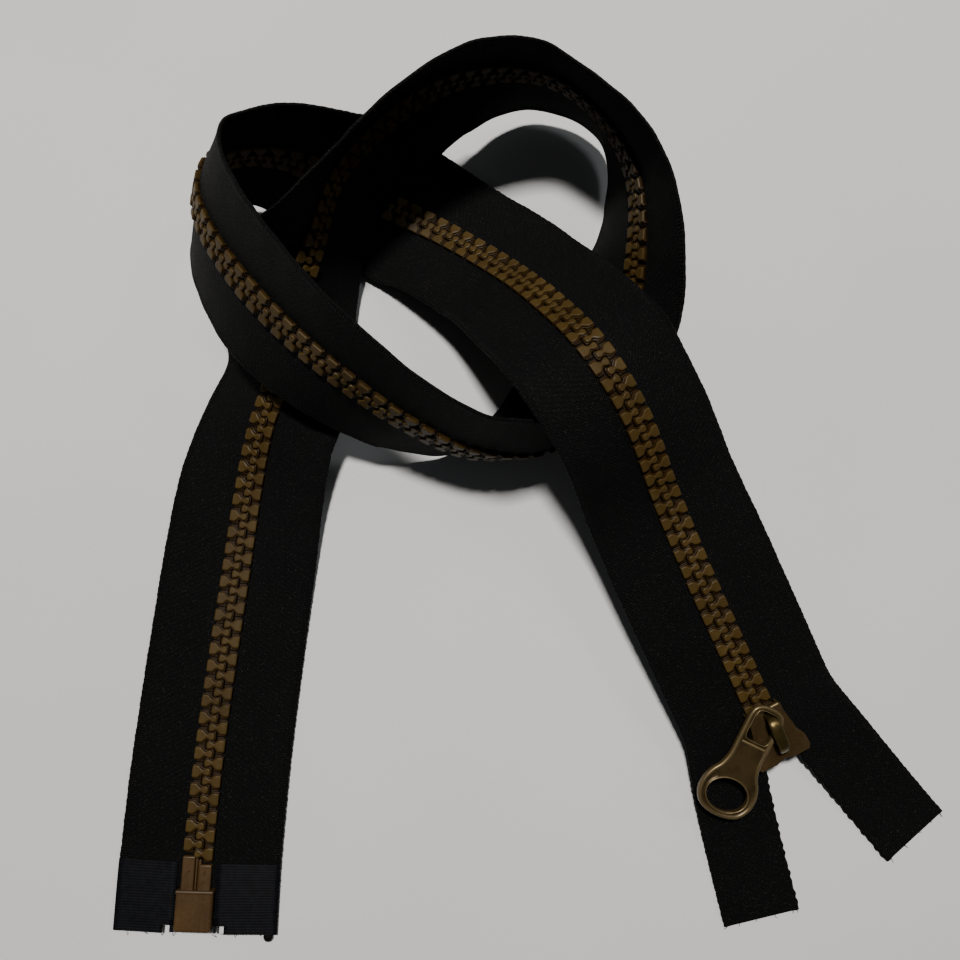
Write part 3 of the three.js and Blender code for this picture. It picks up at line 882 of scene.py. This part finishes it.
def pin(name, node, sign, end, rib_end, dents):
    """A bar with rounded edges and moulding dimples, and a low rib towards the other pin."""
    near, far = sorted((sign * PIN_FROM, sign * PIN_TO))
    bar = new_object(name, *block(box_axes(), (PIN_START, near, -PIN_TOP), (end, far, PIN_TOP)))
    bevel(bar, PIN_ROUND, 4)
    bake(bar)
    for x, y in dents:
        cut(bar, dent(x, sign * y))
    near, far = sorted((sign * RIB_FROM, sign * RIB_TO))
    merge(bar, new_object("rib", *block(box_axes(), (PIN_START, near, RIB_LOW), (rib_end, far, RIB_HIGH))))
    weighted_normals(bar)
    dress(bar, BOX, "closed_chain", "box", node)


retainer_box()
pin("insertion_bar", "insertion_pin", 1, 14.3, 13.8, ((11.4, 1.5),))
pin("retaining_bar", "retaining_pin", -1, 12.8, 13.4, ((11.2, 1.6), (9.6, 1.5)))


# ---------------------------------------------------------------- pull
# In the pull's plane x runs from its end on the crown to its ring.
PULL_OUTLINE = [(0.15, -1.6), (0.9, -2.9), (2.4, -3.5), (5.4, -3.5), (8.2, -3.45), (11.0, -3.4), (13.4, -4.0),
                (15.2, -5.1), (17.6, -5.8), (20.2, -5.5), (22.4, -3.7), (23.2, 0), (22.4, 3.7), (20.2, 5.5),
                (17.6, 5.8), (15.2, 5.1), (13.4, 4.0), (11.0, 3.4), (8.2, 3.45), (5.4, 3.5), (2.4, 3.5),
                (0.9, 2.9), (0.15, 1.6), (0, 0)]
PULL_SLOT = [(1.1, -1.0), (1.5, -2.05), (2.6, -2.4), (4.4, -2.4), (6.2, -2.38), (7.0, -2.0), (7.2, -1.2),
             (7.2, 0), (7.2, 1.2), (7.0, 2.0), (6.2, 2.38), (4.4, 2.4), (2.6, 2.4), (1.5, 2.05), (1.1, 1.0),
             (1.1, 0)]
PULL_HOLE = [(18.7 + 3.2 * math.cos(a), 4.2 * math.sin(a)) for a in angles(12)]
PULL_HALF, PLATE_HALF = 0.6, 0.34
EDGE_RIM, SLOT_RIM, HOLE_RIM = 0.85, 0.22, 0.38
PULL_BAR_FROM, PULL_BAR_TO, PULL_BAR_HALF = 7.7, 8.25, 2.5
PULL_END = Vector((-5, 1.33, 4.35))
PULL_ANGLE, PULL_SLOPE = math.radians(-51.9), math.radians(-3.2)


def smooth_line(points, steps=6):
    """A closed smooth line through points."""
    n, out = len(points), []
    for i in range(n):
        four = [points[(i + k) % n] for k in (-1, 0, 1, 2)]
        for j in range(steps):
            out.append(tuple(spline(*(p[m] for p in four), j / steps)[0] for m in (0, 1)))
    return out


def inset(line, d):
    """A closed counter-clockwise line moved inwards by d (outwards if negative)."""
    out, n = [], len(line)
    for i in range(n):
        (x0, y0), (x2, y2) = line[i - 1], line[(i + 1) % n]
        length = math.hypot(x2 - x0, y2 - y0)
        out.append((line[i][0] - (y2 - y0) / length * d, line[i][1] + (x2 - x0) / length * d))
    return out


def rim_strip(bm, line, sign, rim):
    """A rounded rim along a line, down to the recessed plate; returns the inner edges of both faces."""
    half = PULL_HALF
    profile = [(0.0, 0.0), (0.0, half * 0.45), (rim * 0.1, half * 0.8), (rim * 0.3, half), (rim * 0.6, half),
               (rim * 0.82, half * 0.84), (rim, PLATE_HALF)]
    profile = [(d, -h) for d, h in profile[:0:-1]] + profile
    loops = [[bm.verts.new((x, y, h)) for x, y in inset(line, sign * d)] for d, h in profile]
    n = len(line)
    for a, b in zip(loops, loops[1:]):
        for i in range(n):
            bm.faces.new((a[i], a[(i + 1) % n], b[(i + 1) % n], b[i]))
    return loops[0], loops[-1]


def pull_bar(bm):
    """The raised bar that crosses the plate below the slot."""
    x0, x1, y = PULL_BAR_FROM, PULL_BAR_TO, PULL_BAR_HALF
    corners = ((x0, -y, 0.12), (x1, -y, -0.12), (x1, y, -0.12), (x0, y, 0.12))
    low = [bm.verts.new((x, y, PLATE_HALF - 0.1)) for x, y, _ in corners]
    high = [bm.verts.new((x + lean, y * 0.98, PLATE_HALF + 0.16)) for x, y, lean in corners]
    bm.faces.new(high)
    bm.faces.new(low[::-1])
    for i in range(4):
        bm.faces.new((low[i], low[(i + 1) % 4], high[(i + 1) % 4], high[i]))


def pull():
    """The pull: a plate with a rim round its edge, round its slot and round its ring hole."""
    bm = bmesh.new()
    outlines = ((smooth_line(PULL_OUTLINE), 1, EDGE_RIM), (smooth_line(PULL_SLOT), -1, SLOT_RIM),
                (smooth_line(PULL_HOLE, 5), -1, HOLE_RIM))
    for loops in zip(*(rim_strip(bm, line, sign, rim) for line, sign, rim in outlines)):
        edges = [bm.edges.get((loop[i - 1], loop[i])) for loop in loops for i in range(len(loop))]
        bmesh.ops.triangle_fill(bm, use_beauty=True, edges=edges)
    pull_bar(bm)
    bm.verts.index_update()
    points = [tuple(v.co) for v in bm.verts]
    faces = [tuple(v.index for v in f.verts) for f in bm.faces]
    bm.free()
    ahead = Vector((math.cos(PULL_SLOPE) * math.cos(PULL_ANGLE), math.cos(PULL_SLOPE) * math.sin(PULL_ANGLE),
                    math.sin(PULL_SLOPE)))
    beside = Vector((-math.sin(PULL_ANGLE), math.cos(PULL_ANGLE), 0))
    local = placed((PULL_END, ahead, beside, ahead.cross(beside)), points)
    plate = new_object("pull_plate", placed(slider_axes(), local), faces)
    weighted_normals(plate)
    dress(plate, BRASS, "pull", "brass", "pull_tab")


# ---------------------------------------------------------------- crown
# The crown from the side, in the slider's axes: x, height, half thickness and half width.
CROWN = [(-3.4, 3.05, 0.5, 0.6), (-3.4, 4.3, 0.5, 0.62), (-3.4, 4.9, 0.48, 0.75), (-3.28, 5.48, 0.45, 0.95),
         (-2.95, 5.84, 0.42, 1.06), (-2.35, 5.98, 0.5, 1.12), (-1.2, 6.04, 0.54, 1.15),
         (0.0, 6.02, 0.54, 1.15), (1.0, 5.98, 0.52, 1.15), (1.95, 5.89, 0.45, 1.14), (2.6, 5.6, 0.44, 1.12),
         (3.02, 5.1, 0.46, 1.1), (3.28, 4.35, 0.5, 1.1), (3.38, 3.6, 0.5, 1.1), (3.38, 3.05, 0.5, 1.1)]
# Powers below 1 square the section off.
CROWN_SQUARE_ACROSS, CROWN_SQUARE_OVER = 0.65, 0.8


def squared(value, power):
    return math.copysign(abs(value) ** power, value)


def crown():
    """The crown: a rounded strap that rises from the top wing and arches over to the nose."""
    rings = []
    for i, (x, z, half, wide) in enumerate(CROWN):
        (x0, z0), (x1, z1) = CROWN[max(i - 1, 0)][:2], CROWN[min(i + 1, len(CROWN) - 1)][:2]
        length = math.hypot(x1 - x0, z1 - z0)
        nx, nz = -(z1 - z0) / length, (x1 - x0) / length
        ring = []
        for a in angles(20):
            across = squared(math.cos(a), CROWN_SQUARE_ACROSS) * wide
            over = squared(math.sin(a), CROWN_SQUARE_OVER) * half
            ring.append((x + nx * over, across, z + nz * over))
        rings.append(placed(slider_axes(), ring))
    dress(new_object("crown_arch", *loft(rings)), CROWN_BRASS, "slider", "brass", "slider_crown")


pull()
crown()


# ---------------------------------------------------------------- pieces that keep their solid's faces
def refined(node, name, material, body, slot_name, width, segments=3):
    """A new piece with the solid's own faces, cleaned, with its edges rounded."""
    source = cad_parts[node]
    mesh = source.data.copy()
    obj = bpy.data.objects.new(name, mesh)
    bpy.context.scene.collection.objects.link(obj)
    obj.matrix_world = source.matrix_world.copy()
    bm = bmesh.new()
    bm.from_mesh(mesh)
    bmesh.ops.remove_doubles(bm, verts=bm.verts, dist=2e-6)
    bmesh.ops.dissolve_limit(bm, angle_limit=math.radians(2), verts=bm.verts, edges=bm.edges)
    bm.to_mesh(mesh)
    bm.free()
    for poly in mesh.polygons:
        poly.use_smooth = True
    bevel(obj, width, segments, angle=25)
    weighted_normals(obj)
    dress(obj, material, body, slot_name, node)


refined("slider_body", "slider_shell", BODY, "slider", "body", 0.22, 4)
refined("lock_spring", "spring_leaf", STEEL, "pawl", "steel", 0.03)
refined("left_top_stop", "left_stop", TEETH, "left_leaf", "teeth", 0.2)
refined("right_top_stop", "right_stop", TEETH, "right_leaf", "teeth", 0.2)


# ---------------------------------------------------------------- lips of the slider and loose threads
# Rounded lips on the slider's top wing: the tail edge is worn bright, the sides thicken towards the nose.
TAIL_LIP = [(-4.45, y, 2.8) for y in (-3.1, -1.6, 0, 1.6, 3.1)]
SIDE_LIP = [(0, 3.85), (1.6, 4.2), (3.3, 5.15), (5.2, 5.4), (6, 4.9)]
# Places across the cut ends where a thread has come loose.
END_THREADS = {-1: (4.2, 6.3, 9.8, 13.2), 1: (3.6, 5.2, 7.7, 12.4)}
TOP_THREADS = (1.2, 2.0, 5.5, 9.4, 12.6, 15.2)
THREAD_SEED = {-1: 5, 1: 6}
THREAD_STEPS = 6
THREAD_REST, THREAD_LOWEST = 0.07, 0.08
CORD_END_AT, CORD_END_OUT, CORD_END_RADII = 14.1, 0.45, (0.9, 0.9, 0.5)


def thread(points, radius):
    """A round strand through points."""
    rings = []
    for i, p in enumerate(points):
        t = (points[min(i + 1, len(points) - 1)] - points[max(i - 1, 0)]).normalized()
        a = t.cross(Vector((0.3, 0.2, 1))).normalized()
        b = a.cross(t)
        rings.append([p + (a * math.cos(q) + b * math.sin(q)) * radius for q in angles(6)])
    return loft(rings)


def blob(centre, radii):
    """A ball with three radii."""
    rings = []
    for i in range(1, 9):
        a = math.pi * i / 9
        rings.append([centre + Vector((radii[0] * math.sin(a) * math.cos(q), -radii[1] * math.cos(a),
                                       radii[2] * math.sin(a) * math.sin(q))) for q in angles(10)])
    return loft(rings)


def slider_lips():
    tail = placed(slider_axes(), TAIL_LIP)
    dress(new_object("tail_lip", *thread(tail, 0.27)), BRASS, "slider", "brass")
    for side, word in SIDES:
        lip = placed(slider_axes(), [(x, side * y, 2.6) for x, y in SIDE_LIP])
        dress(new_object(word + "_side_lip", *thread(lip, 0.36)), BODY, "slider", "body")


def loose_threads(name, body, place, side, vs, away, seed, extra=()):
    """Short stray filaments that stick out of a cut edge and sink to the table."""
    rng = random.Random(seed)
    out = place.out(side)[0]
    parts = list(extra)
    for v in vs:
        start = place.on_cloth(side, v)
        lean = rng.uniform(-0.5, 0.5)
        reach = rng.uniform(0.5, 1.3)
        points = []
        for j in range(THREAD_STEPS + 1):
            t = j / THREAD_STEPS
            p = start + place.t * (away * reach * t) + out * (lean * t * t + 0.1 * math.sin(5 * t + v))
            p.z = max(start.z * (1 - t) + (THREAD_REST - SHIFT.z) * t, THREAD_LOWEST - SHIFT.z)
            points.append(p)
        parts.append(thread(points, rng.uniform(0.035, 0.06)))
    dress(new_object(name, *join_parts(parts)), TAPE, body, "tape")


def frayed_ends(side, word):
    """Loose threads at both cut ends of one side; a melted cord end lies among the right ones at the box."""
    end, seed = chain_at(0.02), THREAD_SEED[side]
    cord = [blob(end.on_cloth(side, CORD_END_AT) - end.t * CORD_END_OUT, CORD_END_RADII)] if side > 0 else []
    loose_threads(word + "_end_threads", "closed_chain", end, side, END_THREADS[side], -1, seed, cord)
    top = parted_at(TOP_END - 0.05, side)
    loose_threads(word + "_top_threads", word + "_leaf", top, side, TOP_THREADS, 1, seed + 10)


slider_lips()
for side, word in SIDES:
    frayed_ends(side, word)


# ---------------------------------------------------------------- floor and light
# Name, place (m), size (m), power (W) and colour.
LIGHTS = (
    ("key", (-0.1, 0.27, 0.86), 0.1, 12.3, (1, 0.98, 0.95)),
    ("fill", (0.46, 0.24, 0.62), 0.22, 0.75, (0.95, 0.98, 1)),
)
ROOM_LIGHT, ROOM_STRENGTH = (0.9, 0.95, 1, 1), 0.05
FLOOR_HALF = 3


def stage():
    """The sheet of paper the object lies on, the room's faint light and the two lamps."""
    mesh = bpy.data.meshes.new("floor")
    d = FLOOR_HALF
    mesh.from_pydata([(-d, -d, 0), (d, -d, 0), (d, d, 0), (-d, d, 0)], [], [(0, 1, 2, 3)])
    floor = bpy.data.objects.new("floor", mesh)
    bpy.context.scene.collection.objects.link(floor)
    mesh.materials.append(paper_material())
    world = bpy.data.worlds.new("world")
    bpy.context.scene.world = world
    world.use_nodes = True
    background = world.node_tree.nodes["Background"]
    background.inputs[0].default_value = ROOM_LIGHT
    background.inputs[1].default_value = ROOM_STRENGTH
    for name, at, size, power, colour in LIGHTS:
        light = bpy.data.lights.new(name, "AREA")
        light.size = size
        light.energy = power
        light.color = colour
        obj = bpy.data.objects.new(name, light)
        bpy.context.scene.collection.objects.link(obj)
        obj.location = at
        obj.rotation_euler = (-Vector(at)).to_track_quat("-Z", "Y").to_euler()


stage()
bpy.context.view_layer.update()
